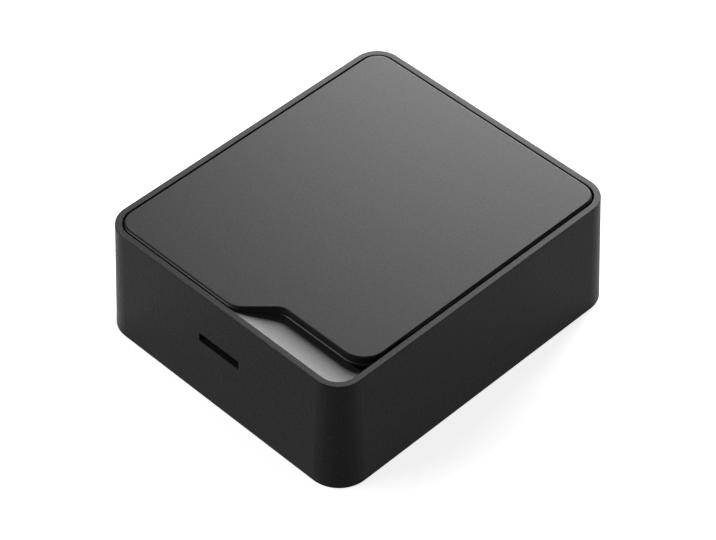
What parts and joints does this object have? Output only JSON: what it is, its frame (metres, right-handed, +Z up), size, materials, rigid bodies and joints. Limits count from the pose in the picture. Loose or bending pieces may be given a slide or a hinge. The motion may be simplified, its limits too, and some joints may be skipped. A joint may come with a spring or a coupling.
{
  "type": "robot vacuum cellular module",
  "caption": "Small black moulded box with an inset top plate, a finger scoop at one corner and a slot in its front wall; holds a cellular modem board and antennas.",
  "frame": {"origin": "middle of the flat bottom face", "axes": "+Z up, -Y out of the wall with the slot, +Y along the longer plan side, +X to the right of the slot wall"},
  "size_m": [0.08, 0.0928, 0.0323],
  "materials": {
    "moulded_black": "fine moulded grain, black",
    "plate_black": "fine moulded grain, black, softly reflecting",
    "inner_black": "plain black",
    "seal_rubber": "soft black rubber",
    "tape": "foam tape",
    "zinc_steel": "zinc plated",
    "board_green": "solder resist, satin",
    "tinned_metal": "tinned sheet",
    "gold": "gold plated",
    "card": "white card",
    "ferrite": "pressed ferrite, grey",
    "can_metal": "bare drawn can",
    "chip_black": "moulded epoxy",
    "antenna_film": "copper on amber film",
    "lead_grey": "thin grey jacket"
  },
  "bodies": {
    "root": {"housing": "moulded_black", "top_plate": "plate_black", "plate_tape": "tape", "bottom_cover": "moulded_black", "cover_seal": "seal_rubber", "cover_screws": "zinc_steel", "main_board": "board_green", "board_screws": "zinc_steel", "port_shell": "tinned_metal", "port_body": "inner_black", "port_contacts": "gold", "modem_board": "board_green", "modem_shield": "tinned_metal", "sim_holder": "tinned_metal", "sim_card": "card", "power_inductor": "ferrite", "power_capacitors": "can_metal", "power_chips": "chip_black", "main_antenna": "antenna_film", "second_antenna": "antenna_film", "main_lead": "lead_grey", "second_lead": "lead_grey", "lead_plugs": "gold", "board_sockets": "gold"}
  },
  "joints": []
}
